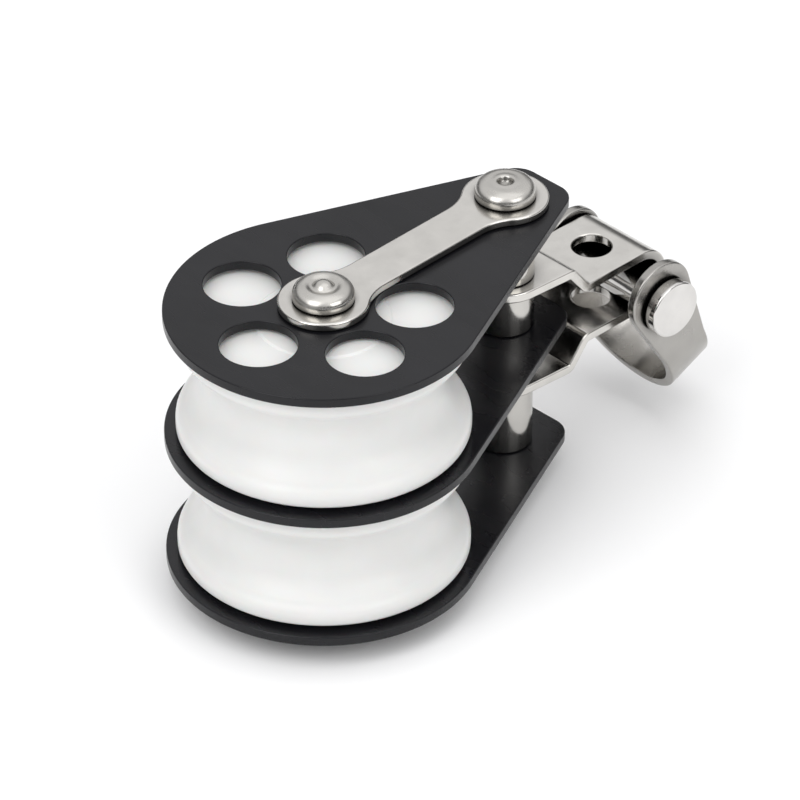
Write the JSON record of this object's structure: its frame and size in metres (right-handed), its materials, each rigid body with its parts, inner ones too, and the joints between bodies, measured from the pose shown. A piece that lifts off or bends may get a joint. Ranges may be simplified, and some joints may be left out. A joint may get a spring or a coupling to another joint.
{
  "type": "double sheave block",
  "caption": "Double rope block: white grooved sheaves between dark round cheeks with lightening holes, steel straps, swivelling tang, clevis pin and bow shackle.",
  "frame": {"origin": "centre of the flat crown of the axle rivet's lower head, on the surface that the block stands on", "axes": "+X from the axle towards the head post and the shackle, +Z along the axle towards the nubbed upper rivet head, +Y completes a right-handed frame"},
  "size_m": [0.157, 0.076, 0.0852],
  "materials": {
    "anodised_aluminium": "black satin anodised",
    "white_acetal": "turned, smooth",
    "polished_stainless": "polished",
    "bearing_steel": "ground"
  },
  "bodies": {
    "block_frame": {"bottom_cheek": "anodised_aluminium", "middle_cheek": "anodised_aluminium", "top_cheek": "anodised_aluminium", "lower_bearing_sleeve": "bearing_steel", "upper_bearing_sleeve": "bearing_steel", "axle_rivet": "polished_stainless", "head_post_rivet": "polished_stainless", "bottom_strap": "polished_stainless", "top_strap": "polished_stainless", "top_spacer": "polished_stainless", "upper_middle_spacer": "polished_stainless", "lower_middle_spacer": "polished_stainless", "bottom_spacer": "polished_stainless"},
    "upper_sheave": {"upper_sheave": "white_acetal"},
    "lower_sheave": {"lower_sheave": "white_acetal"},
    "tang": {"tang": "polished_stainless"},
    "shackle_pin": {"shackle_pin": "polished_stainless"},
    "shackle": {"shackle_bow": "polished_stainless"},
    "ring": {"split_ring": "polished_stainless"}
  },
  "joints": [
    {"name": "upper_sheave_spin", "type": "hinge", "parent": "block_frame", "child": "upper_sheave", "pos_m": [0, 0, 0.05948], "axis": [0, 0, 1], "continuous": true},
    {"name": "lower_sheave_spin", "type": "hinge", "parent": "block_frame", "child": "lower_sheave", "pos_m": [0, 0, 0.02502], "axis": [0, 0, 1], "continuous": true},
    {"name": "tang_swing", "type": "hinge", "parent": "block_frame", "child": "tang", "pos_m": [0.0616, 0, 0.0428], "axis": [0, 0, 1], "range_deg": [-60, 60]},
    {"name": "pin_slide", "type": "slide", "parent": "tang", "child": "shackle_pin", "axis": [0.0576, 0.9983, 0], "range_m": [0, 0.0055]},
    {"name": "shackle_swing", "type": "hinge", "parent": "shackle_pin", "child": "shackle", "pos_m": [0.09799, -0.00076, 0.0414], "axis": [-0.0576, -0.9983, 0], "range_deg": [-52, 182]},
    {"name": "ring_swing", "type": "hinge", "parent": "shackle_pin", "child": "ring", "pos_m": [0.09896, 0.01611, 0.0414], "axis": [0.9983, -0.0576, 0], "range_deg": [-6, 110]}
  ]
}
